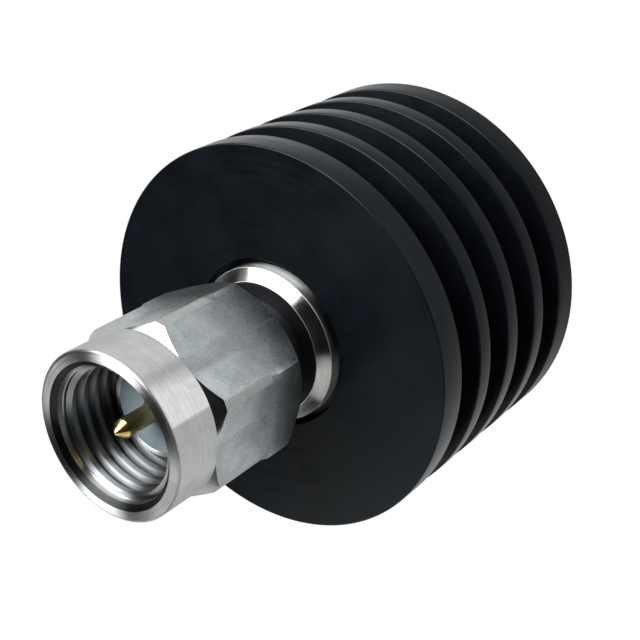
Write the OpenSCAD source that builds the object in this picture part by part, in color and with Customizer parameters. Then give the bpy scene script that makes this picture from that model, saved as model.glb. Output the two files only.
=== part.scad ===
// Coaxial termination: a finned heat sink with a threaded coaxial plug on its
// front end, and the load resistor inside. Millimetres. The part stands on the
// heat sink's flat rear end, +Z runs along the axis towards the plug, and the
// origin is the centre of the rear face.

/* [Heat sink] */
// Outside diameter of the fins
sink_d = 20; // [18:0.5:26]
// Length of the heat sink
sink_len = 13; // [12.6:0.1:16]
// Thickness of the first and the last fin
end_fin_t = 1.6; // [1.2:0.1:2]
// Thickness of the fins between them
mid_fin_t = 1.0; // [0.8:0.1:1.4]
// Number of fins
fin_count = 5; // [4:1:6]
// Diameter at the foot of the grooves
root_d = 12.8; // [11:0.2:15]
// Broken edge on every fin
fin_edge = 0.1; // [0.05:0.01:0.25]
// Diameter of the recess round the plug's collar
recess_d = 8.7; // [8.4:0.1:9.4]
// Depth of that recess
recess_depth = 0.5; // [0.3:0.1:0.8]

/* [Connector body] */
// Diameter of the shank pressed into the heat sink
shank_d = 6; // [5.4:0.1:6.6]
// Length of the shank behind the collar
shank_len = 9.9; // [9.4:0.1:10.4]
// Diameter of the collar
collar_d = 8; // [7.6:0.1:8.2]
// Height of the collar's straight part above the heat sink's face
collar_proud = 0.23; // [0.15:0.01:0.5]
// Length of the collar's bevel
collar_bevel = 0.425; // [0.2:0.025:0.6]
// Diameter of the collar's front face
collar_face_d = 6.8; // [6.2:0.1:7.2]
// Diameter of the neck between collar and nut
neck_d = 5.0; // [4.8:0.1:5.3]
// Diameter of the land that guides the nut
land_d = 5.5; // [5.3:0.02:5.6]
// Diameter of the flange under the gasket
flange_d = 5.6; // [5.4:0.02:5.66]
// Outside diameter of the front tube
tube_d = 4.6; // [4.5:0.02:4.66]
// Diameter of the bore for the dielectric
bore_d = 4.12; // [4.06:0.02:4.16]
// Diameter of the air line behind the dielectric
air_d = 2.88; // [2.7:0.02:3]
// Diameter of the groove for the retaining ring
body_groove_d = 4.8; // [4.7:0.02:4.9]

/* [Coupling nut] */
// Distance across the flats
across_flats = 8.05; // [7.9:0.01:8.05]
// Overall length of the nut
nut_len = 8.45; // [8.3:0.05:8.8]
// Length of the gap between collar and nut
nut_gap = 1.995; // [1.8:0.05:2.3]
// Turn of the hexagon about the axis
hex_turn = 12; // [0:1:60]
// Diameter that the front part of the hexagon is turned down to
hex_turned_d = 9.0; // [8.8:0.05:9.1]
// Length of the full corners behind that
full_corner_len = 1.53; // [1:0.05:2]
// Length of the round part in front of the hexagon
round_len = 2.45; // [2.2:0.05:2.6]
// Diameter of that round part
round_d = 8.1; // [8.08:0.01:8.2]
// Bevel on the mouth's outer edge
mouth_edge = 0.09; // [0.05:0.01:0.2]
// Largest diameter of the countersink
sink_mouth_d = 7.02; // [6.8:0.02:7.1]
// Diameter of the plain bore in front of the thread
counterbore_d = 6.5; // [6.4:0.02:6.6]
// Depth of countersink and plain bore together
counterbore_depth = 0.55; // [0.4:0.05:0.7]
// Bore at the crests of the thread
thread_crest_d = 5.85; // [5.8:0.01:5.87]
// Length of the threaded bore
thread_len = 4.15; // [3.9:0.05:4.3]
// Diameter of the relief behind the thread
relief_d = 6.5; // [6.4:0.02:6.6]

/* [Retaining ring and gasket] */
// Thickness of the retaining ring
ring_t = 0.4; // [0.3:0.05:0.45]
// Inside diameter of the retaining ring
ring_in_d = 5.0; // [4.98:0.01:5.1]
// Outside diameter of the retaining ring
ring_out_d = 6.4; // [6.2:0.02:6.44]
// Angle of the split in the retaining ring
ring_split = 26; // [10:1:40]
// Free play of the nut along the axis, to each side
nut_play = 0.25; // [0.1:0.01:0.25]
// Thickness of the gasket
gasket_t = 0.75; // [0.6:0.05:0.8]
// Outside diameter of the gasket
gasket_d = 5.5; // [5.2:0.02:5.6]

/* [Contact] */
// Diameter of the free end of the pin
pin_d = 0.914; // [0.9:0.002:0.94]
// Length of the free cylinder of the pin
pin_len = 1.95; // [1.7:0.05:2]
// Length of the pin's blunt cone
pin_cone_len = 0.5; // [0.45:0.05:0.6]
// Diameter of the pin inside the dielectric
core_d = 1.27; // [1.2:0.01:1.32]
// Depth of the mating plane behind the nut's mouth
plane_depth = 2.9; // [2.75:0.05:3.1]

/* [Load] */
// Diameter of the resistor rod
rod_d = 1.2; // [1.1:0.02:1.24]
// Length of the resistor rod
rod_len = 6.8; // [6.4:0.1:7]
// Outside diameter of the end caps' cups
cap_d = 1.44; // [1.4:0.02:1.5]
// Outside diameter of the taper sleeve
sleeve_d = 4.4; // [4.2:0.05:4.6]
// Bore of the taper sleeve at its narrow end
taper_small_d = 1.6; // [1.5:0.02:1.7]

/* [Hidden] */
$fn = 96;
e = 0.5;                                       // cutters run past the faces

// stations along the axis
seat_z = sink_len - recess_depth;              // the collar bears here
collar_z = sink_len + collar_proud;
face_z = collar_z + collar_bevel;              // the collar's front face
nut_z = face_z + nut_gap;                      // the nut's rear face
mouth_z = nut_z + nut_len;                     // the nut's front face
plane_z = mouth_z - plane_depth;               // mating plane
gasket_top_z = plane_z - 1.85;
gasket_z = gasket_top_z - gasket_t;
ring_z = nut_z + 1.65;                         // middle of the retaining ring
groove_half = ring_t / 2 + nut_play + 0.1;     // groove in the body
nut_groove_half = ring_t / 2 + 0.1;            // groove in the nut
flange_z = ring_z + groove_half;
land_z = nut_z + 0.3;
shank_z = seat_z - shank_len;
web_z = seat_z + 0.1;                          // end of the rear bore
bead_z = web_z + 1.8;                          // rear end of the dielectric
thread_top_z = mouth_z - counterbore_depth;
thread_z = thread_top_z - thread_len;
relief_z = ring_z + 0.7;

// stations of the load, counted from the shank's open end
plug_len = 2;
plug_top_z = shank_z + plug_len;
rod_z = plug_top_z + 0.6;
rod_top_z = rod_z + rod_len;
ground_top_z = plug_top_z + 1.7;
front_cap_z = rod_top_z - 1;
front_cap_top_z = rod_top_z + 0.8;
pin_rear_z = front_cap_top_z + 0.1;
stub_d = 0.6;
socket_d = 0.62;

corner_d = across_flats / cos(30);
fin_gap = (sink_len - 2 * end_fin_t - (fin_count - 2) * mid_fin_t) / (fin_count - 1);

// start and thickness of fin i, counted from the rear
function fin_start(i) = i == 0 ? 0 : end_fin_t + fin_gap + (i - 1) * (mid_fin_t + fin_gap);
function fin_thick(i) = (i == 0 || i == fin_count - 1) ? end_fin_t : mid_fin_t;

// outline of one fin as seen in the section, with its two edges broken
function fin_outline(z, t) = [
    [root_d / 2, z],
    [sink_d / 2 - fin_edge, z],
    [sink_d / 2, z + fin_edge],
    [sink_d / 2, z + t - fin_edge],
    [sink_d / 2 - fin_edge, z + t],
    [root_d / 2, z + t]
];

function heat_sink_outline() = concat(
    [[0, 0]],
    [for (i = [0 : fin_count - 1]) each fin_outline(fin_start(i), fin_thick(i))],
    [[recess_d / 2, sink_len],
     [recess_d / 2, seat_z],
     [shank_d / 2, seat_z],
     [shank_d / 2, shank_z],
     [0, shank_z]]
);

function connector_body_outline() = [
    [sleeve_d / 2, shank_z],
    [shank_d / 2 - 0.15, shank_z],
    [shank_d / 2, shank_z + 0.15],
    [shank_d / 2, seat_z],
    [collar_d / 2, seat_z],
    [collar_d / 2, collar_z],
    [collar_face_d / 2, face_z],
    [neck_d / 2, face_z],
    [neck_d / 2, land_z],
    [land_d / 2, land_z],
    [land_d / 2, ring_z - groove_half],
    [body_groove_d / 2, ring_z - groove_half],
    [body_groove_d / 2, flange_z],
    [flange_d / 2, flange_z],
    [flange_d / 2, gasket_z],
    [tube_d / 2, gasket_z],
    [tube_d / 2, plane_z - 0.04],
    [tube_d / 2 - 0.04, plane_z],
    [bore_d / 2, plane_z],
    [bore_d / 2, bead_z],
    [air_d / 2, bead_z],
    [air_d / 2, web_z],
    [sleeve_d / 2, web_z]
];

// envelope that trims the hexagon: bevel behind, full corners, turned-down
// corners, bevel in front
function nut_envelope() = [
    [0, nut_z],
    [across_flats / 2, nut_z],
    [corner_d / 2 + 0.1, nut_z + (corner_d - across_flats) / 2 + 0.1],
    [corner_d / 2 + 0.1, nut_z + (corner_d - across_flats) / 2 + full_corner_len],
    [hex_turned_d / 2, nut_z + (corner_d - across_flats) / 2 + full_corner_len],
    [hex_turned_d / 2, mouth_z - round_len - (hex_turned_d - round_d) / 2],
    [round_d / 2, mouth_z - round_len],
    [across_flats / 2 - 0.3, mouth_z - round_len + 0.3],
    [0, mouth_z - round_len + 0.3]
];

function nut_front() = [
    [0, mouth_z - round_len],
    [round_d / 2, mouth_z - round_len],
    [round_d / 2, mouth_z - mouth_edge],
    [round_d / 2 - mouth_edge, mouth_z],
    [0, mouth_z]
];

// everything that is bored out of the nut, as one section
function nut_bore() = [
    [0, nut_z - e],
    [thread_crest_d / 2, nut_z - e],
    [thread_crest_d / 2, ring_z - nut_groove_half],
    [ring_out_d / 2 + 0.13, ring_z - nut_groove_half],
    [ring_out_d / 2 + 0.13, ring_z + nut_groove_half],
    [thread_crest_d / 2, ring_z + nut_groove_half],
    [thread_crest_d / 2, relief_z],
    [relief_d / 2, relief_z],
    [relief_d / 2, thread_z],
    [thread_crest_d / 2, thread_z],
    [thread_crest_d / 2, thread_top_z],
    [counterbore_d / 2, thread_top_z],
    [counterbore_d / 2, mouth_z - (sink_mouth_d - counterbore_d) / 2],
    [sink_mouth_d / 2, mouth_z],
    [sink_mouth_d / 2, mouth_z + e],
    [0, mouth_z + e]
];

function pin_outline() = [
    [0, pin_rear_z],
    [core_d / 2 - 0.06, pin_rear_z],
    [core_d / 2, pin_rear_z + 0.06],
    [core_d / 2, plane_z],
    [pin_d / 2, plane_z],
    [pin_d / 2, plane_z + pin_len],
    [0.2, plane_z + pin_len + pin_cone_len - 0.14],
    [0.13, plane_z + pin_len + pin_cone_len - 0.05],
    [0.06, plane_z + pin_len + pin_cone_len - 0.01],
    [0, plane_z + pin_len + pin_cone_len]
];

module tube_between(d_out, d_in, z0, z1) {
    translate([0, 0, z0]) difference() {
        cylinder(d = d_out, h = z1 - z0);
        translate([0, 0, -e]) cylinder(d = d_in, h = z1 - z0 + 2 * e);
    }
}

// Turned from one bar: five discs on a core, with a blind bore for the shank
module heat_sink() {
    color("#1b1e24") rotate_extrude() polygon(heat_sink_outline());
}

// Outer conductor of the plug: front tube, flange, groove, neck, collar, shank
module connector_body() {
    color("#c9ccc8") rotate_extrude() polygon(connector_body_outline());
}

// Hexagon nut with a round front. The thread's crests are its plain bore here.
module coupling_nut() {
    color("#a9b2b4") difference() {
        union() {
            intersection() {
                rotate([0, 0, hex_turn]) translate([0, 0, nut_z - e])
                    cylinder(d = corner_d, h = nut_len - round_len + 2 * e, $fn = 6);
                rotate_extrude() polygon(nut_envelope());
            }
            rotate_extrude() polygon(nut_front());
        }
        rotate_extrude() polygon(nut_bore());
    }
}

// Split spring ring that sits half in the body's groove and half in the nut's
module retaining_ring() {
    color("#b98b4e") difference() {
        tube_between(ring_out_d, ring_in_d, ring_z - ring_t / 2, ring_z + ring_t / 2);
        translate([0, 0, ring_z - ring_t])
            linear_extrude(2 * ring_t)
                polygon([[0, 0],
                         [6 * cos(-ring_split / 2), 6 * sin(-ring_split / 2)],
                         [6 * cos(ring_split / 2), 6 * sin(ring_split / 2)]]);
    }
}

// Soft sealing ring on the front tube, against the flange
module gasket() {
    color("#8c4a34") tube_between(gasket_d, tube_d, gasket_z, gasket_top_z);
}

// Insulating bead between pin and outer conductor, flush with the mating plane
module front_dielectric() {
    color("#a7b9bd") difference() {
        translate([0, 0, bead_z]) cylinder(d = bore_d, h = plane_z - bead_z);
        translate([0, 0, bead_z - e]) cylinder(d = core_d, h = plane_z - bead_z + 2 * e);
    }
}

// Gold-plated contact with a slotted socket at its rear end
module centre_pin() {
    color("#c9a227") difference() {
        rotate_extrude() polygon(pin_outline());
        translate([0, 0, pin_rear_z - e]) cylinder(d = socket_d, h = e + 2.0);
        translate([-core_d, -0.08, pin_rear_z - e]) cube([2 * core_d, 0.16, e + 1.1]);
    }
}

// Front end cap of the resistor: a cup over the rod, and a stub for the socket
module front_terminal() {
    color("#b9bcc0") difference() {
        union() {
            translate([0, 0, front_cap_z]) cylinder(d = cap_d, h = front_cap_top_z - front_cap_z);
            translate([0, 0, front_cap_z]) cylinder(d = stub_d, h = front_cap_top_z - front_cap_z + 1.8);
        }
        translate([0, 0, front_cap_z - e]) cylinder(d = rod_d, h = rod_top_z - front_cap_z + e);
    }
}

// Ceramic rod with the resistive film
module resistor_rod() {
    color("#5a4238") translate([0, 0, rod_z]) cylinder(d = rod_d, h = rod_len);
}

// Rear end cap of the resistor, in contact with the taper sleeve
module ground_terminal() {
    color("#b9bcc0") difference() {
        translate([0, 0, plug_top_z]) cylinder(d = taper_small_d + 0.32, h = ground_top_z - plug_top_z);
        translate([0, 0, rod_z]) cylinder(d = rod_d, h = ground_top_z - rod_z + e);
    }
}

// Outer conductor round the resistor, bored to a cone
module taper_sleeve() {
    color("#c2a05a") rotate_extrude() polygon([
        [(taper_small_d + 0.32) / 2, plug_top_z],
        [sleeve_d / 2, plug_top_z],
        [sleeve_d / 2, web_z],
        [air_d / 2, web_z],
        [air_d / 2, web_z - 1.3],
        [taper_small_d / 2, ground_top_z],
        [(taper_small_d + 0.32) / 2, ground_top_z]
    ]);
}

// Plug that closes the shank and holds sleeve and cap in place
module end_plug() {
    color("#9aa0a4") difference() {
        translate([0, 0, shank_z]) cylinder(d = sleeve_d, h = plug_len);
        translate([-sleeve_d, -0.3, shank_z - e]) cube([2 * sleeve_d, 0.6, e + 0.7]);
    }
}

heat_sink();
connector_body();
coupling_nut();
retaining_ring();
gasket();
front_dielectric();
centre_pin();
front_terminal();
resistor_rod();
ground_terminal();
taper_sleeve();
end_plug();
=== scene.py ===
import bpy, bmesh, math
from mathutils import Matrix, Vector


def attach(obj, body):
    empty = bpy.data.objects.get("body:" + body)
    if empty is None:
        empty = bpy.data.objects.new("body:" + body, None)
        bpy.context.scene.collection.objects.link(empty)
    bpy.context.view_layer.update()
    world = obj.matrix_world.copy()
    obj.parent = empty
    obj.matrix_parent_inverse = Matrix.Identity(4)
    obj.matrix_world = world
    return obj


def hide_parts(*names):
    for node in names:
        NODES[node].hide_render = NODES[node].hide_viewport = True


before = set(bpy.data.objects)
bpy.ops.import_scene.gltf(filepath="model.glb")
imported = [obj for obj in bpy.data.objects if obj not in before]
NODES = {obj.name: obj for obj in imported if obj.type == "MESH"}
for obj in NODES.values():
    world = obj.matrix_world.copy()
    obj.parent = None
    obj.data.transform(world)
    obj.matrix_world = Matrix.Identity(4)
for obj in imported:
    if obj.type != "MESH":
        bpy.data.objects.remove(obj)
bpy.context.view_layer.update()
MM = 0.001
PI = math.pi

# ---------------------------------------------------------------- camera
# The axis as the camera sees it (x right, y down, z forward), and the centre
# of the heat sink's front face in the same frame, in millimetres.
axis = Vector((0.5853, -0.3512, 0.7308)).normalized()
face = Vector((-2.546, 1.122, 61.905))
row_z = -axis
row_x = Vector((-0.5145, -0.8575, 0.0)).normalized()
row_y = row_z.cross(row_x)
origin = face + axis * 13.0
rows = Matrix((row_x, row_y, row_z))          # camera frame -> row frame
cam_pos = rows @ (-origin) * MM
right, down, fwd = rows @ Vector((1, 0, 0)), rows @ Vector((0, 1, 0)), rows @ Vector((0, 0, 1))
cam_data = bpy.data.cameras.new("camera")
cam_data.sensor_width = 36.0
cam_data.lens = 71.14
cam_data.clip_start = 0.002
cam_data.clip_end = 5.0
cam = bpy.data.objects.new("camera", cam_data)
bpy.context.scene.collection.objects.link(cam)
m = Matrix((right, -down, -fwd)).transposed().to_4x4()
m.translation = cam_pos
cam.matrix_world = m
bpy.context.scene.camera = cam


# ---------------------------------------------------------------- materials
class Graph:
    """Small helper that builds a node material."""

    def __init__(self, name):
        self.mat = bpy.data.materials.new(name)
        self.mat.use_nodes = True
        self.nt = self.mat.node_tree
        self.bsdf = next(n for n in self.nt.nodes if n.type == "BSDF_PRINCIPLED")
        tc = self.add("ShaderNodeTexCoord")
        mm = self.add("ShaderNodeVectorMath", operation="SCALE")
        self.link(tc.outputs["Object"], mm.inputs[0])
        mm.inputs["Scale"].default_value = 1000.0
        self.pos = mm.outputs[0]

    def add(self, kind, **props):
        n = self.nt.nodes.new(kind)
        for k, v in props.items():
            setattr(n, k, v)
        return n

    def link(self, a, b):
        self.nt.links.new(a, b)

    def put(self, socket, value):
        if isinstance(value, bpy.types.NodeSocket):
            self.link(value, socket)
        else:
            socket.default_value = value

    def math(self, op, a, b=0.0, c=0.0, clamp=False):
        n = self.add("ShaderNodeMath", operation=op)
        n.use_clamp = clamp
        self.put(n.inputs[0], a)
        self.put(n.inputs[1], b)
        self.put(n.inputs[2], c)
        return n.outputs[0]

    def xyz(self):
        n = self.add("ShaderNodeSeparateXYZ")
        self.link(self.pos, n.inputs[0])
        return n.outputs

    def vec(self, x, y, z):
        n = self.add("ShaderNodeCombineXYZ")
        for s, v in zip(n.inputs, (x, y, z)):
            self.put(s, v)
        return n.outputs[0]

    def noise(self, vector, scale, detail=2.0, rough=0.5, distort=0.0):
        n = self.add("ShaderNodeTexNoise")
        self.put(n.inputs["Vector"], vector)
        n.inputs["Scale"].default_value = scale
        n.inputs["Detail"].default_value = detail
        n.inputs["Roughness"].default_value = rough
        n.inputs["Distortion"].default_value = distort
        return n.outputs["Fac"]

    def voronoi(self, vector, scale):
        n = self.add("ShaderNodeTexVoronoi")
        self.put(n.inputs["Vector"], vector)
        n.inputs["Scale"].default_value = scale
        return n.outputs

    def span(self, value, lo, hi, out_lo, out_hi):
        n = self.add("ShaderNodeMapRange")
        self.put(n.inputs["Value"], value)
        n.inputs["From Min"].default_value = lo
        n.inputs["From Max"].default_value = hi
        n.inputs["To Min"].default_value = out_lo
        n.inputs["To Max"].default_value = out_hi
        return n.outputs["Result"]

    def mix(self, fac, a, b):
        n = self.add("ShaderNodeMix", data_type="RGBA")
        self.put(n.inputs["Factor"], fac)
        for s, v in ((n.inputs[6], a), (n.inputs[7], b)):
            self.put(s, v if isinstance(v, bpy.types.NodeSocket) else (*v, 1.0))
        return n.outputs[2]

    def rings(self, fine=1.0, arc=0.6):
        """A vector that is long round the axis and short across it, for turned marks."""
        x, y, z = self.xyz()
        r = self.math("SQRT", self.math("ADD", self.math("MULTIPLY", x, x), self.math("MULTIPLY", y, y)))
        rr = self.math("MAXIMUM", r, 0.05)
        u = self.math("MULTIPLY", self.math("MULTIPLY_ADD", r, 1.31, z), fine)
        return self.vec(u, self.math("MULTIPLY", self.math("DIVIDE", x, rr), arc),
                        self.math("MULTIPLY", self.math("DIVIDE", y, rr), arc))

    def bump(self, height, strength, distance):
        n = self.add("ShaderNodeBump")
        n.inputs["Strength"].default_value = strength
        n.inputs["Distance"].default_value = distance * MM
        self.link(height, n.inputs["Height"])
        self.link(n.outputs[0], self.bsdf.inputs["Normal"])

    def set(self, **kw):
        for k, v in kw.items():
            s = self.bsdf.inputs[k.replace("_", " ")]
            if isinstance(v, bpy.types.NodeSocket):
                self.link(v, s)
            elif isinstance(v, tuple) and len(v) == 3:
                s.default_value = (*v, 1.0)
            else:
                s.default_value = v

    def turned(self, amount):
        """Grain round the axis: the reflection spreads across it."""
        t = self.add("ShaderNodeTangent", direction_type="RADIAL", axis="Z")
        self.link(t.outputs[0], self.bsdf.inputs["Tangent"])
        self.set(Anisotropic=amount, Anisotropic_Rotation=0.25)

    def vmath(self, op, a, b=None, scale=None):
        n = self.add("ShaderNodeVectorMath", operation=op)
        self.put(n.inputs[0], a)
        if b is not None:
            self.put(n.inputs[1], b)
        if scale is not None:
            self.put(n.inputs["Scale"], scale)
        return n.outputs[0]

    def grooves(self, height, spread):
        """Leans the normal across the turned grain by (height - 0.5) * spread."""
        x, y, z = self.xyz()
        round_way = self.add("ShaderNodeVectorTransform", vector_type="VECTOR",
                             convert_from="OBJECT", convert_to="WORLD")
        self.link(self.vmath("NORMALIZE", self.vec(self.math("MULTIPLY", y, -1.0), x, 0.0)), round_way.inputs[0])
        geo = self.add("ShaderNodeNewGeometry")
        across = self.vmath("CROSS_PRODUCT", round_way.outputs[0], geo.outputs["Normal"])
        lean = self.math("MULTIPLY", self.math("SUBTRACT", height, 0.5), spread)
        n = self.vmath("NORMALIZE", self.vmath("ADD", geo.outputs["Normal"], self.vmath("SCALE", across, scale=lean)))
        self.link(n, self.bsdf.inputs["Normal"])


def black_anodised():
    g = Graph("black_anodised")
    rings = g.rings(18.0, 1.2)
    marks = g.noise(rings, 1.0, 3.0, 0.6)
    broad = g.noise(g.rings(3.0, 0.8), 1.0, 2.0, 0.5)
    mottle = g.noise(g.pos, 0.55, 4.0, 0.6)
    grain = g.noise(g.pos, 26.0, 2.0, 0.6)
    base = g.mix(g.span(mottle, 0.3, 0.7, 0.0, 1.0), (0.0016, 0.0020, 0.0032), (0.0031, 0.0038, 0.0057))
    g.set(Base_Color=base, Metallic=0.0, IOR=1.5, Specular_IOR_Level=0.125, Specular_Tint=(0.80, 0.97, 1.0),
          Roughness=g.span(g.math("ADD", broad, g.math("MULTIPLY", mottle, 0.6)), 0.4, 1.2, 0.24, 0.38))
    g.turned(0.45)
    height = g.math("MULTIPLY_ADD", marks, 0.7, g.math("MULTIPLY", grain, 0.5))
    g.bump(height, 0.35, 0.012)
    return g.mat


def stainless_turned(name, rough, aniso, tone=(0.50, 0.515, 0.505), fine=60.0, spread=1.0, inner_shade=None):
    """Turned steel; the optional darker tone is painted shade that a thread gets towards its inner end, deep in the
    bore.
    """
    g = Graph(name)
    marks = g.noise(g.rings(fine, 0.3), 1.0, 3.0, 0.65)
    lines = g.noise(g.rings(13.0, 0.25), 1.0, 3.0, 0.7)
    bands = g.noise(g.rings(5.0, 0.35), 1.0, 2.0, 0.5)
    cloud = g.noise(g.pos, 1.4, 3.0, 0.6)
    dark = tuple(c * 0.82 for c in tone)
    base = g.mix(g.span(g.math("ADD", cloud, lines), 0.75, 1.25, 0.0, 1.0), dark, tone)
    # Painted shade: darker towards the thread's inner end, deep in the shaded bore.
    if inner_shade:
        base = g.mix(g.span(g.xyz()[2], 20.8, 23.2, 0.0, 1.0), inner_shade, base)
    g.set(Base_Color=base, Metallic=1.0,
          Roughness=g.span(g.math("ADD", bands, marks), 0.6, 1.4, rough * 0.85, rough * 1.15))
    g.turned(aniso)
    g.grooves(g.math("MULTIPLY_ADD", lines, 0.08, g.math("MULTIPLY", marks, 0.92)), spread)
    return g.mat


def stainless_flat():
    g = Graph("stainless_milled")
    speck = g.noise(g.pos, 17.0, 2.0, 0.7)
    pits = g.voronoi(g.pos, 12.0)["Distance"]
    cloud = g.noise(g.pos, 1.0, 3.0, 0.6)
    g.set(Base_Color=g.mix(g.span(g.math("ADD", cloud, speck), 0.75, 1.25, 0.0, 1.0),
                           (0.22, 0.24, 0.255), (0.36, 0.39, 0.40)),
          Metallic=1.0, Roughness=g.span(speck, 0.3, 0.7, 0.22, 0.38))
    g.bump(g.math("MULTIPLY_ADD", pits, 0.15, speck), 1.0, 0.015)
    return g.mat


def gold(name, dark, tone, rough):
    g = Graph(name)
    marks = g.noise(g.rings(30.0, 0.8), 1.0, 3.0, 0.6)
    cloud = g.noise(g.pos, 3.0, 2.0, 0.5)
    g.set(Base_Color=g.mix(g.span(cloud, 0.3, 0.7, 0.0, 1.0), dark, tone),
          Metallic=1.0, Roughness=g.span(marks, 0.3, 0.7, rough * 0.8, rough * 1.2))
    g.turned(0.3)
    g.bump(marks, 0.2, 0.004)
    return g.mat


def fluoropolymer():
    g = Graph("fluoropolymer")
    rings = g.noise(g.rings(14.0, 0.6), 1.0, 3.0, 0.6)
    cloud = g.noise(g.pos, 2.0, 3.0, 0.6)
    g.set(Base_Color=g.mix(g.span(g.math("ADD", cloud, rings), 0.7, 1.3, 0.0, 1.0),
                           (0.145, 0.185, 0.205), (0.185, 0.225, 0.24)),
          Metallic=0.0, Roughness=0.42, IOR=1.36, Subsurface_Weight=0.0)
    g.bump(rings, 0.3, 0.01)
    return g.mat


def soft_metal(name, tone, rough):
    g = Graph(name)
    marks = g.noise(g.rings(22.0, 0.8), 1.0, 3.0, 0.6)
    cloud = g.noise(g.pos, 2.2, 3.0, 0.6)
    dark = tuple(c * 0.8 for c in tone)
    g.set(Base_Color=g.mix(g.span(cloud, 0.3, 0.7, 0.0, 1.0), dark, tone),
          Metallic=1.0, Roughness=g.span(marks, 0.3, 0.7, rough * 0.85, rough * 1.2))
    g.turned(0.4)
    g.bump(marks, 0.25, 0.006)
    return g.mat


def matte(name, tone, rough, fine=24.0):
    g = Graph(name)
    grain = g.noise(g.pos, fine, 3.0, 0.6)
    cloud = g.noise(g.pos, 2.0, 2.0, 0.5)
    dark = tuple(c * 0.75 for c in tone)
    g.set(Base_Color=g.mix(g.span(g.math("ADD", grain, cloud), 0.7, 1.3, 0.0, 1.0), dark, tone),
          Metallic=0.0, Roughness=rough)
    g.bump(grain, 0.3, 0.01)
    return g.mat


MAT = {
    "black": black_anodised(),
    "nut_round": stainless_turned("stainless_turned_nut", 0.22, 1.0, tone=(0.395, 0.405, 0.40), spread=0.8),
    "nut_face": stainless_turned("stainless_faced_nut", 0.40, 1.0, fine=40.0, spread=2.6),
    "nut_bevel": stainless_turned("stainless_bevel_nut", 0.14, 1.0, spread=0.08),
    "nut_edge": stainless_turned("stainless_edge_nut", 0.38, 0.8, tone=(0.40, 0.41, 0.405), spread=0.8),
    # Countersink: steel darkened nearly to black, painted shade in the mouth's groove.
    "nut_countersink_shade": stainless_turned("stainless_countersink_shade_nut", 0.46, 1.0, tone=(0.04, 0.042, 0.045), spread=2.0),
    "nut_bore": stainless_turned("stainless_bored_nut", 0.30, 1.0, tone=(0.36, 0.37, 0.365), spread=1.0),
    # Thread crests and flanks: tones darker than the bore are painted shade inside the bore.
    "nut_crest": stainless_turned("stainless_crest_nut", 0.36, 1.0, tone=(0.23, 0.24, 0.25), spread=1.0, inner_shade=(0.15, 0.155, 0.163)),
    "nut_flank": stainless_turned("stainless_flank_nut", 0.36, 0.8, tone=(0.21, 0.218, 0.226), spread=0.6, inner_shade=(0.07, 0.073, 0.077)),
    "nut_runout": stainless_turned("stainless_runout_nut", 0.35, 0.5, tone=(0.18, 0.185, 0.19), spread=0.5),
    # Thread roots: steel darkened nearly to black, painted shade in the thread's creases.
    "nut_root_shade": stainless_turned("stainless_root_shade_nut", 0.36, 1.0, tone=(0.07, 0.073, 0.077), spread=1.0),
    "nut_corner": stainless_turned("stainless_corner_nut", 0.22, 1.0, tone=(0.32, 0.325, 0.325), spread=0.8),
    "nut_corner_dull": stainless_turned("stainless_corner_dull", 0.26, 0.8, tone=(0.36, 0.365, 0.35), spread=0.8),
    "nut_flat": stainless_flat(),
    "body": stainless_turned("stainless_turned_body", 0.32, 1.0, spread=0.5),
    "body_edge": stainless_turned("stainless_edge_body", 0.50, 0.3, spread=0.4),
    "body_bevel": stainless_turned("stainless_bevel_body", 0.22, 0.9, tone=(0.42, 0.425, 0.40), spread=0.15),
    "tube": stainless_turned("stainless_tube_end", 0.34, 1.0, fine=40.0, spread=1.5),
    # Collar's face in the gap behind the nut: steel darkened nearly to black as painted shade.
    "recess": stainless_turned("stainless_recess", 0.5, 0.3, tone=(0.028, 0.030, 0.033), spread=0.3),
    # Neck behind the nut: a darker copy of the body's steel, painted shade in the gap.
    "neck": stainless_turned("stainless_neck", 0.30, 0.6, tone=(0.20, 0.205, 0.21), spread=0.1),
    "gold": gold("gold_plate", (0.78, 0.56, 0.20), (0.88, 0.68, 0.30), 0.24),
    # Pin's shaft: a darker copy of the gold plating, painted shade where it stands inside the nut.
    "gold_shaft_shade": gold("gold_plate_shaft_shade", (0.34, 0.27, 0.12), (0.46, 0.37, 0.18), 0.30),
    "bead": fluoropolymer(),
    "bronze": soft_metal("spring_bronze", (0.60, 0.37, 0.17), 0.30),
    "plated": soft_metal("plated_brass", (0.62, 0.62, 0.60), 0.28),
    "brass": soft_metal("brass_bare", (0.70, 0.50, 0.22), 0.30),
    "steel": soft_metal("stainless_plug", (0.58, 0.59, 0.58), 0.32),
    "silicone": matte("silicone", (0.33, 0.085, 0.05), 0.55),
    "ceramic": matte("resistive_ceramic", (0.11, 0.065, 0.05), 0.6, 40.0),
}


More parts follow.
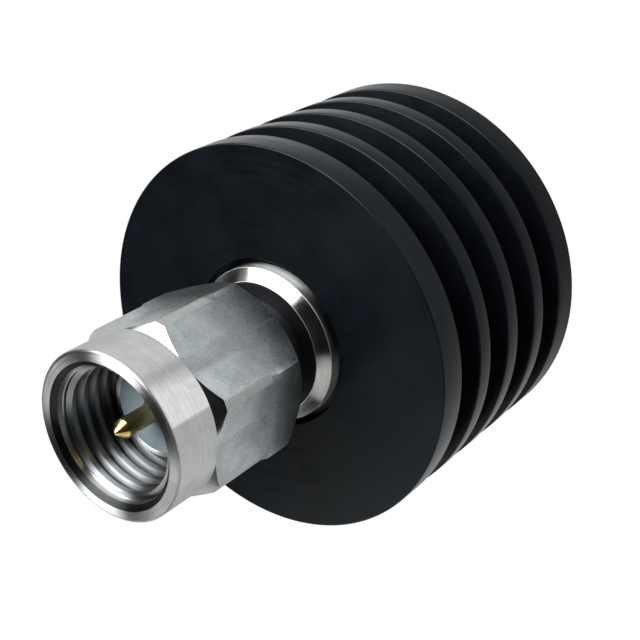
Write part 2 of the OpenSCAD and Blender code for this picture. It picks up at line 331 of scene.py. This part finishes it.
# ---------------------------------------------------------------- meshes
def rounded(points):
    """A section's outline with its corners rounded. Each point is (r, z) or (r, z, radius, steps);
    every corner gives the same count of points whatever its size, so sections can be joined."""
    out = []
    n = len(points)
    for i, p in enumerate(points):
        if len(p) < 3:
            out.append((p[0], p[1]))
            continue
        rho, steps = p[2], p[3]
        c = Vector((p[0], p[1]))
        a = Vector(points[i - 1][:2]) - c
        b = Vector(points[(i + 1) % n][:2]) - c
        la, lb = a.length, b.length
        if la < 1e-7 or lb < 1e-7:
            out += [(p[0], p[1])] * (steps + 1)
            continue
        a /= la
        b /= lb
        half = math.acos(max(-1.0, min(1.0, a.dot(b)))) / 2
        if abs(half - PI / 2) < 1e-4 or half < 1e-4:
            out += [(p[0], p[1])] * (steps + 1)
            continue
        t = min(rho / math.tan(half), 0.45 * la, 0.45 * lb)
        rho = t * math.tan(half)
        mid = c + (a + b).normalized() * (rho / math.sin(half))
        s0, s1 = c + a * t - mid, c + b * t - mid
        sweep = s0.angle_signed(s1) if hasattr(s0, "angle_signed") else 0.0
        a0 = math.atan2(s0.y, s0.x)
        d = math.atan2(s1.y, s1.x) - a0
        d = (d + PI) % (2 * PI) - PI
        for k in range(steps + 1):
            w = a0 + d * k / steps
            out.append((mid.x + rho * math.cos(w), mid.y + rho * math.sin(w)))
    return out


def finish_mesh(name, verts, faces, mats, face_mat, body, node, sharp=22.0):
    me = bpy.data.meshes.new(name)
    me.from_pydata([tuple(c * MM for c in v) for v in verts], [], faces)
    for i, p in enumerate(me.polygons):
        p.material_index = face_mat[i]
        p.use_smooth = True
    bm = bmesh.new()
    bm.from_mesh(me)
    bmesh.ops.remove_doubles(bm, verts=bm.verts, dist=2e-7)
    bmesh.ops.dissolve_degenerate(bm, edges=bm.edges, dist=1e-8)
    bmesh.ops.recalc_face_normals(bm, faces=bm.faces)
    bm.to_mesh(me)
    bm.free()
    for mt in mats:
        me.materials.append(MAT[mt])
    me.set_sharp_from_angle(angle=math.radians(sharp))
    ob = bpy.data.objects.new(name, me)
    bpy.context.scene.collection.objects.link(ob)
    wn = ob.modifiers.new("normals", "WEIGHTED_NORMAL")
    wn.keep_sharp = True
    wn.weight = 50
    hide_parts(node)
    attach(ob, body)
    return ob


def lathe(name, outline, mat, body, node, seg=256, sharp=22.0, mats=None, pick=None, arc=None):
    """Turns a closed outline round +Z. mats and pick choose a material by the middle of an edge."""
    pts = rounded(outline)
    verts, faces, fmat = [], [], []
    full = arc is None
    a0, a1 = (0.0, 360.0) if full else arc
    cols = seg if full else seg + 1
    for i in range(cols):
        w = math.radians(a0 + (a1 - a0) * i / seg)
        cw, sw = math.cos(w), math.sin(w)
        verts += [(r * cw, r * sw, z) for r, z in pts]
    n = len(pts)
    for i in range(seg):
        j = (i + 1) % cols if full else i + 1
        for k in range(n):
            l = (k + 1) % n
            if pts[k][0] < 1e-6 and pts[l][0] < 1e-6:
                continue
            f = [i * n + k, i * n + l, j * n + l, j * n + k]
            if pts[l][0] < 1e-6:
                f = [i * n + k, i * n + l, j * n + k]
            elif pts[k][0] < 1e-6:
                f = [i * n + k, i * n + l, j * n + l]
            faces.append(f)
            mid = ((pts[k][0] + pts[l][0]) / 2, (pts[k][1] + pts[l][1]) / 2)
            fmat.append(pick(*mid) if pick else 0)
    if not full:
        for i in (0, seg):
            faces.append([i * n + k for k in range(n)])
            fmat.append(0)
    return finish_mesh(name, verts, faces, mats or [mat], fmat, body, node, sharp)


# ------------------------------------------------ heat sink
sink = [(0, 0)]
for z0, z1 in ((0, 1.6), (3.3, 4.3), (6.0, 7.0), (8.7, 9.7), (11.4, 13.0)):
    sink += [(6.4, z0, 0.12, 3)] if z0 else []
    sink += [(10, z0, 0.10, 4), (10, z1, 0.10, 4)]
    sink += [(6.4, z1, 0.12, 3)] if z1 < 13 else []
sink += [(4.35, 13.0, 0.05, 3), (4.35, 12.5), (3.0, 12.5), (3.0, 2.6), (0, 2.6)]
lathe("heat_sink_turned", sink, "black", "load", "heat_sink", seg=360)

# ------------------------------------------------ connector body
body = [
    (2.2, 2.6), (2.85, 2.6), (3.0, 2.75), (3.0, 12.5), (4.0, 12.5, 0.05, 2),
    (4.0, 13.23, 0.05, 3), (3.4, 13.655, 0.05, 3), (2.5, 13.655, 0.06, 2), (2.5, 15.95),
    (2.75, 15.95, 0.04, 2), (2.75, 16.75, 0.03, 2), (2.4, 16.75), (2.4, 17.85),
    (2.8, 17.85, 0.03, 2), (2.8, 18.6, 0.03, 2), (2.3, 18.6), (2.3, 21.2, 0.05, 3),
    (2.06, 21.2, 0.02, 2), (2.06, 14.4), (1.44, 14.4), (1.44, 12.6), (2.2, 12.6),
]
def body_finish(r, z):
    """Which finish of the body's list an edge of its section has."""
    if z > 18.6:
        return 1                                  # front tube
    if 13.7 < z < 16.8 and r < 3.0:
        return 3                                  # neck, its steel darkened as painted shade in the gap behind the nut
    if z < 13.7 and (math.hypot(r - 4.0, z - 13.23) < 0.04 or math.hypot(r - 3.4, z - 13.655) < 0.04):
        return 4                                  # edges of the collar's bevel
    if 13.62 < z < 13.7 and r < 3.4:
        return 2                                  # collar's face, darkened as painted shade in the gap behind the nut
    if 13.3 < z < 13.6 and 3.5 < r < 3.9:
        return 5                                  # collar's bevel
    return 0


lathe("connector_body_turned", body, None, "load", "connector_body", seg=288,
      mats=["body", "tube", "recess", "neck", "body_edge", "body_bevel"], pick=body_finish)

# ------------------------------------------------ gasket, ring, bead
lathe("gasket_moulded", [(2.3, 18.6, 0.08, 3), (2.75, 18.6, 0.1, 3), (2.75, 19.35, 0.15, 4), (2.3, 19.35, 0.1, 3)],
      "silicone", "load", "gasket", seg=160)
lathe("retaining_ring_sprung", [(2.5, 17.1, 0.05, 2), (3.2, 17.1, 0.05, 2), (3.2, 17.5, 0.05, 2), (2.5, 17.5, 0.05, 2)],
      "bronze", "ring", "retaining_ring", seg=160, arc=(13.0, 347.0))
lathe("front_dielectric_turned",
      [(2.06, 14.4), (2.06, 21.2, 0.02, 2), (0.635, 21.2), (0.635, 14.4)],
      "bead", "load", "front_dielectric", seg=160)

# ------------------------------------------------ centre pin
pin = [
    (0, 15.2), (0.31, 15.2), (0.31, 13.0), (0.575, 13.0), (0.635, 13.06), (0.635, 21.2, 0.02, 2),
    (0.457, 21.2, 0.03, 2), (0.457, 23.15, 0.05, 4), (0.2, 23.51, 0.08, 3), (0.13, 23.6, 0.04, 3),
    (0.06, 23.64, 0.03, 2), (0, 23.65),
]
# The shaft behind the tip takes the darker gold, which is painted shade.
lathe("centre_pin_turned", pin, None, "load", "centre_pin", seg=96,
      mats=["gold", "gold_shaft_shade"], pick=lambda r, z: 1 if z < 23.0 else 0)

# ------------------------------------------------ coupling nut
PITCH = 0.7056
CREST, ROOT = 2.925, 3.175
CREST_W = 0.26                                  # width of the crest along the axis
FLANK = (ROOT - CREST) * math.tan(math.radians(30))
ROOT_W = PITCH - CREST_W - 2 * FLANK
THREAD_LO, THREAD_HI = 19.4, 23.55
HEX = 4.025                                     # half the width across flats
HEX_TURN = 12.0                                 # a corner stands at this angle
ROUND_R = 4.05
BEVEL = 25.7                                    # z + r on the bevel in front of the flats


def hex_radius(deg):
    """Distance of the hexagon's outline at this angle, with its corners slightly rounded."""
    k = (deg - HEX_TURN) % 60.0                 # 0 at a corner, 30 in the middle of a flat
    a = math.radians(min(k, 60.0 - k))          # from the nearest corner
    r = HEX / math.cos(PI / 6 - a)
    rho = 0.05
    rc = HEX / math.cos(PI / 6) - rho / math.cos(PI / 6)
    touch = math.atan2(rho * 0.5, rc + rho * math.cos(PI / 6))
    if a < touch:
        r = rc * math.cos(a) + math.sqrt(rho * rho - (rc * math.sin(a)) ** 2)
    return r


def thread_rows():
    """(offset along the axis, radius) of one pitch, from a crest's front edge backwards."""
    e = 0.018
    rows = [
        (CREST_W, CREST + 0.004), (CREST_W - e, CREST), (e, CREST), (0.0, CREST + 0.004),
        (-0.008, CREST + 0.018), (-FLANK * 0.5, (CREST + ROOT) / 2), (-FLANK + 0.01, ROOT - 0.016), (-FLANK - 0.008, ROOT),
        (-FLANK - ROOT_W + 0.008, ROOT), (-FLANK - ROOT_W - 0.01, ROOT - 0.016),
        (-2 * FLANK - ROOT_W + FLANK * 0.5, (CREST + ROOT) / 2), (CREST_W + 0.008 - PITCH, CREST + 0.018),
    ]
    return rows


ROWS = thread_rows()


def thread_radius(z, deg):
    """Radius of the thread at a height, by interpolation in one pitch."""
    z0 = 22.5 + PITCH * ((deg + 234.0) / 360.0)
    t = (z - z0) % PITCH                        # 0 at a crest's rear edge
    if t > CREST_W:
        t -= PITCH
    pts = ROWS + [(CREST_W - PITCH, CREST + 0.004)]
    for (za, ra), (zb, rb) in zip(pts, pts[1:]):
        if zb <= t <= za:
            return ra + (rb - ra) * ((za - t) / (za - zb) if za > zb else 0.0)
    return CREST


def nut_section(deg):
    h = hex_radius(deg)
    ht = min(h, 4.5)
    outer = [
        (3.05, 15.65, 0.03, 2),
        (HEX, 15.65, 0.02, 2),
        (h, 15.65 + (h - HEX), 0.02, 2),
        (h, 17.77, 0.02, 1),
        (ht, 18.07, 0.02, 1),
        (ht, BEVEL - max(ht, ROUND_R), 0.02, 2),
        (ROUND_R, BEVEL - ROUND_R, 0.02, 2),
        (ROUND_R, 24.1, 0.13, 5),
        (3.51, 24.1, 0.015, 2),
        (3.26, 23.86, 0.02, 2),
        (3.25, THREAD_HI, 0.02, 1),
    ]
    base = 22.5 + PITCH * ((deg + 234.0) / 360.0)
    thread = []
    for k in range(3, -8, -1):
        for dz, r in ROWS:
            z = base + k * PITCH + dz
            if z >= THREAD_HI:
                thread.append((thread_radius(THREAD_HI, deg), THREAD_HI))
            elif z <= THREAD_LO:
                thread.append((thread_radius(THREAD_LO, deg), THREAD_LO))
            else:
                thread.append((r, z))
    inner = [
        (3.25, THREAD_LO), (3.25, 18.0), (CREST, 18.0), (CREST, 17.6), (3.33, 17.6), (3.33, 17.0), (CREST, 17.0),
        (CREST, 15.8),
    ]
    return rounded_open(outer), thread, inner


def rounded_open(points):
    """As rounded, but the first and last corners of an open run are kept by their neighbours."""
    full = [(CREST, 15.8)] + points + [(3.0, THREAD_HI)]
    out = []
    for i in range(1, len(full) - 1):
        out += rounded([full[i - 1][:2], full[i], full[i + 1][:2]])[1:-1]
    return out


angles = set(float(a) for a in range(0, 360))
for k in range(6):
    c = HEX_TURN + 60 * k
    edge = math.degrees(PI / 6 - math.acos(HEX / 4.5))
    for d in (0.0, 0.12, 0.24, 0.36, 0.5, 0.75, edge - 0.02, edge, edge + 0.02):
        for s in (-1, 1):
            angles.add(round((c + s * d) % 360.0, 6))
angles = sorted(angles) + [360.0]
verts, faces, fmat, sections = [], [], [], []
count = None
nut_mats = ["nut_round", "nut_flat", "nut_face", "nut_bevel", "nut_bore", "nut_corner", "nut_root_shade",
            "nut_corner_dull", "nut_countersink_shade", "nut_edge", "nut_crest", "nut_flank", "nut_runout"]
for deg in angles:
    o, t, i = nut_section(deg)
    sec = o + t + i
    if count is None:
        count = len(sec)
        n_outer, n_thread = len(o), len(t)
    w = math.radians(deg)
    verts += [(r * math.cos(w), r * math.sin(w), z) for r, z in sec]
    sections.append(sec)
# rows of the outside, by the corner counts above
marks, at = [], 0
for steps in (2, 2, 2, 1, 1, 2, 2, 5, 2, 2, 1):
    marks.append(at)
    at += steps + 1
for a in range(len(angles) - 1):
    mid = (angles[a] + angles[a + 1]) / 2
    hm = hex_radius(mid)
    for k in range(count):
        l = (k + 1) % count
        faces.append([a * count + k, a * count + l, (a + 1) * count + l, (a + 1) * count + k])
        if k < marks[1] + 2:
            mt = 2                                # rear face
        elif k < marks[2] + 1:
            mt = 3                                # rear bevel
        elif k < marks[5] + 1:
            # flats, then the turned corners: their run-out and their strips
            mt = 1 if (hm <= 4.5 or k < marks[3]) else 12 if k < marks[4] else 7 if abs(mid - 312) < 15 else 5
        elif k < marks[6] + 1:
            mt = 3                                # front bevel
        elif k < marks[7]:
            mt = 0                                # round part
        elif k < marks[7] + 5:
            mt = 9                                # its rounded rim
        elif k < marks[8] + 1:
            mt = 2                                # front face
        elif k < marks[9] + 1:
            mt = 8                                # countersink, darkened as painted shade
        else:
            r_mid = (sections[a][k][0] + sections[a][l][0]) / 2
            # bore, then the thread's root, flanks and crest; the root's near-black steel is painted shade
            mt = 4 if k < n_outer else 6 if r_mid > ROOT - 0.02 else 11 if r_mid > CREST + 0.005 else 10
        fmat.append(mt)
finish_mesh("coupling_nut_threaded", verts, faces, nut_mats, fmat, "nut", "coupling_nut", sharp=17.0)

# ------------------------------------------------ hidden pieces keep their CAD form
for node, mt in (("front_terminal", "plated"), ("resistor_rod", "ceramic"), ("ground_terminal", "plated"),
                 ("taper_sleeve", "brass"), ("end_plug", "steel")):
    ob = NODES[node]
    if not ob.data.materials:
        ob.data.materials.append(MAT[mt])
    for i in range(len(ob.data.materials)):
        ob.material_slots[i].material = MAT[mt]

# ---------------------------------------------------------------- stage and light
floor_mat = bpy.data.materials.new("floor_white")
floor_mat.use_nodes = True
fb = next(n for n in floor_mat.node_tree.nodes if n.type == "BSDF_PRINCIPLED")
fb.inputs["Base Color"].default_value = (0.10, 0.10, 0.10, 1.0)
fb.inputs["Roughness"].default_value = 0.9
fb.inputs["Specular IOR Level"].default_value = 0.0
fb.inputs["Emission Color"].default_value = (1.0, 1.0, 1.0, 1.0)
# What the part sees of the floor: lit evenly, about twice as brightly in a wedge towards
# the front, and dimmer close in front of the part and behind it.
ft = floor_mat.node_tree


def fmath(op, a, b=0.0):
    n = ft.nodes.new("ShaderNodeMath")
    n.operation = op
    for sock, v in zip(n.inputs, (a, b)):
        if isinstance(v, bpy.types.NodeSocket):
            ft.links.new(v, sock)
        else:
            sock.default_value = v
    return n.outputs[0]


def fstep(value, lo, hi):
    n = ft.nodes.new("ShaderNodeMapRange")
    n.interpolation_type = "SMOOTHSTEP"
    ft.links.new(value, n.inputs["Value"])
    n.inputs["From Min"].default_value = lo
    n.inputs["From Max"].default_value = hi
    return n.outputs["Result"]


spot = ft.nodes.new("ShaderNodeTexCoord")
spot_xyz = ft.nodes.new("ShaderNodeSeparateXYZ")
ft.links.new(spot.outputs["Object"], spot_xyz.inputs[0])
# degrees round the part: 0 towards -Y, positive towards +X
turn = fmath("MULTIPLY", fmath("ARCTAN2", spot_xyz.outputs[0], fmath("MULTIPLY", spot_xyz.outputs[1], -1.0)), 180.0 / PI)
reach = fmath("SQRT", fmath("ADD", fmath("MULTIPLY", spot_xyz.outputs[0], spot_xyz.outputs[0]),
                            fmath("MULTIPLY", spot_xyz.outputs[1], spot_xyz.outputs[1])))
wedge = fmath("MULTIPLY", fmath("MULTIPLY", fstep(turn, -29.0, -27.0), fstep(turn, 34.0, 8.0)), fstep(reach, 0.024, 0.030))
near = fmath("MULTIPLY", fmath("MULTIPLY", fstep(turn, -100.0, -15.0), fstep(turn, 85.0, 20.0)), fstep(reach, 0.030, 0.022))
back = fmath("MAXIMUM", fstep(turn, -90.0, -135.0), fstep(turn, 95.0, 165.0))
level = fmath("ADD", 1.0, fmath("MULTIPLY", wedge, 1.2))
level = fmath("SUBTRACT", level, fmath("MULTIPLY", near, 0.72))
level = fmath("SUBTRACT", level, fmath("MULTIPLY", back, 0.42))
level = fmath("SUBTRACT", level, fmath("MULTIPLY", fstep(turn, -134.0, -160.0), 0.38))
ft.links.new(fmath("MULTIPLY", level, fstep(reach, 0.0096, 0.0104)), fb.inputs["Emission Strength"])
floor_mesh = bpy.data.meshes.new("floor_glow")
bm = bmesh.new()
bmesh.ops.create_grid(bm, x_segments=1, y_segments=1, size=2.0)
bm.to_mesh(floor_mesh)
bm.free()
floor_mesh.materials.append(floor_mat)
floor = bpy.data.objects.new("floor_glow", floor_mesh)
bpy.context.scene.collection.objects.link(floor)
floor.visible_camera = False
floor.location.z = -0.00003

# The plain white floor and dome that only the camera sees, so that every view has a plain backdrop.
dome_mat = bpy.data.materials.new("backdrop_white")
dome_mat.use_nodes = True
db = next(n for n in dome_mat.node_tree.nodes if n.type == "BSDF_PRINCIPLED")
db.inputs["Base Color"].default_value = (0.0, 0.0, 0.0, 1.0)
db.inputs["Specular IOR Level"].default_value = 0.0
db.inputs["Emission Color"].default_value = (1.0, 1.0, 1.0, 1.0)
db.inputs["Emission Strength"].default_value = 1.0
# The floor is clear from below, so that the part's underside can be seen.
below = dome_mat.node_tree
under = below.nodes.new("ShaderNodeNewGeometry")
clear = below.nodes.new("ShaderNodeBsdfTransparent")
either = below.nodes.new("ShaderNodeMixShader")
out = next(n for n in below.nodes if n.type == "OUTPUT_MATERIAL")
below.links.new(under.outputs["Backfacing"], either.inputs[0])
below.links.new(db.outputs[0], either.inputs[1])
below.links.new(clear.outputs[0], either.inputs[2])
below.links.new(either.outputs[0], out.inputs["Surface"])
for name in ("backdrop", "floor"):
    stage_mesh = bpy.data.meshes.new(name)
    bm = bmesh.new()
    if name == "floor":
        bmesh.ops.create_grid(bm, x_segments=1, y_segments=1, size=0.75)
    else:
        bmesh.ops.create_uvsphere(bm, u_segments=48, v_segments=24, radius=0.9)
        bmesh.ops.reverse_faces(bm, faces=bm.faces)
    bm.to_mesh(stage_mesh)
    bm.free()
    stage_mesh.materials.append(dome_mat)
    stage = bpy.data.objects.new(name, stage_mesh)
    stage.location.z = -0.00003
    bpy.context.scene.collection.objects.link(stage)
    for ray in ("diffuse", "glossy", "transmission", "volume_scatter", "shadow"):
        setattr(stage, "visible_" + ray, False)

# Studio light: soft boxes far away, each given by where it stands round the part
# (azimuth from +X, elevation, in degrees), its half width and half height, and
# its brightness. Between them the studio is dark.
world = bpy.data.worlds.new("studio")
world.use_nodes = True
bpy.context.scene.world = world
wt = world.node_tree
wb = wt.nodes["Background"]


def wmath(op, a, b=0.0):
    n = wt.nodes.new("ShaderNodeMath")
    n.operation = op
    for sock, v in zip(n.inputs, (a, b)):
        if isinstance(v, bpy.types.NodeSocket):
            wt.links.new(v, sock)
        else:
            sock.default_value = v
    return n.outputs[0]


def fade(value, lo, hi, out_lo=0.0, out_hi=1.0):
    n = wt.nodes.new("ShaderNodeMapRange")
    n.interpolation_type = "SMOOTHSTEP"
    wt.links.new(value, n.inputs["Value"])
    for key, v in (("From Min", lo), ("From Max", hi), ("To Min", out_lo), ("To Max", out_hi)):
        n.inputs[key].default_value = v
    return n.outputs["Result"]


sky = wt.nodes.new("ShaderNodeTexCoord")
part = wt.nodes.new("ShaderNodeSeparateXYZ")
wt.links.new(sky.outputs["Generated"], part.inputs[0])
ELEV = wmath("MULTIPLY", wmath("ARCSINE", part.outputs[2]), 180.0 / PI)
AZIM = wmath("ARCTAN2", part.outputs[1], part.outputs[0])


def soft_box(azimuth, elevation, half_w, half_h, brightness, edge=3.0):
    off = wmath("MULTIPLY", wmath("ARCCOSINE", wmath("COSINE", wmath("SUBTRACT", AZIM, math.radians(azimuth)))), 180.0 / PI)
    rise = wmath("ABSOLUTE", wmath("SUBTRACT", ELEV, elevation))
    w = wmath("MULTIPLY", fade(off, half_w + edge / 2, half_w - edge / 2), fade(rise, half_h + edge / 2, half_h - edge / 2))
    return wmath("MULTIPLY", w, brightness)


boxes = [
    soft_box(-16, 41, 34, 21.5, 13.0),          # key, on the right
    soft_box(2, 64, 24, 3, 13.0, 4.0),          # its top
    soft_box(30, 52, 14, 8, 5.5, 4.0),          # its upper corner, towards the back
    soft_box(24, 35, 9, 12, 0.7, 8.0),          # its soft edge
    soft_box(117, 40, 13, 18, 3.2, 5.0),        # window behind, on the left
    soft_box(148, 53, 20, 4.5, 1.6, 3.0),       # above the side light
    soft_box(178, 36, 26, 18, 0.95, 6.0),       # side, on the left
    fade(ELEV, 10.0, 0.0, 0.0, 0.5),            # glow along the horizon
]
total = 0.01
for b in boxes:
    total = wmath("ADD", b, total)
wt.links.new(total, wb.inputs["Strength"])
wb.inputs["Color"].default_value = (1.0, 1.0, 1.0, 1.0)

view = bpy.context.scene.view_settings
view.view_transform = "Standard"
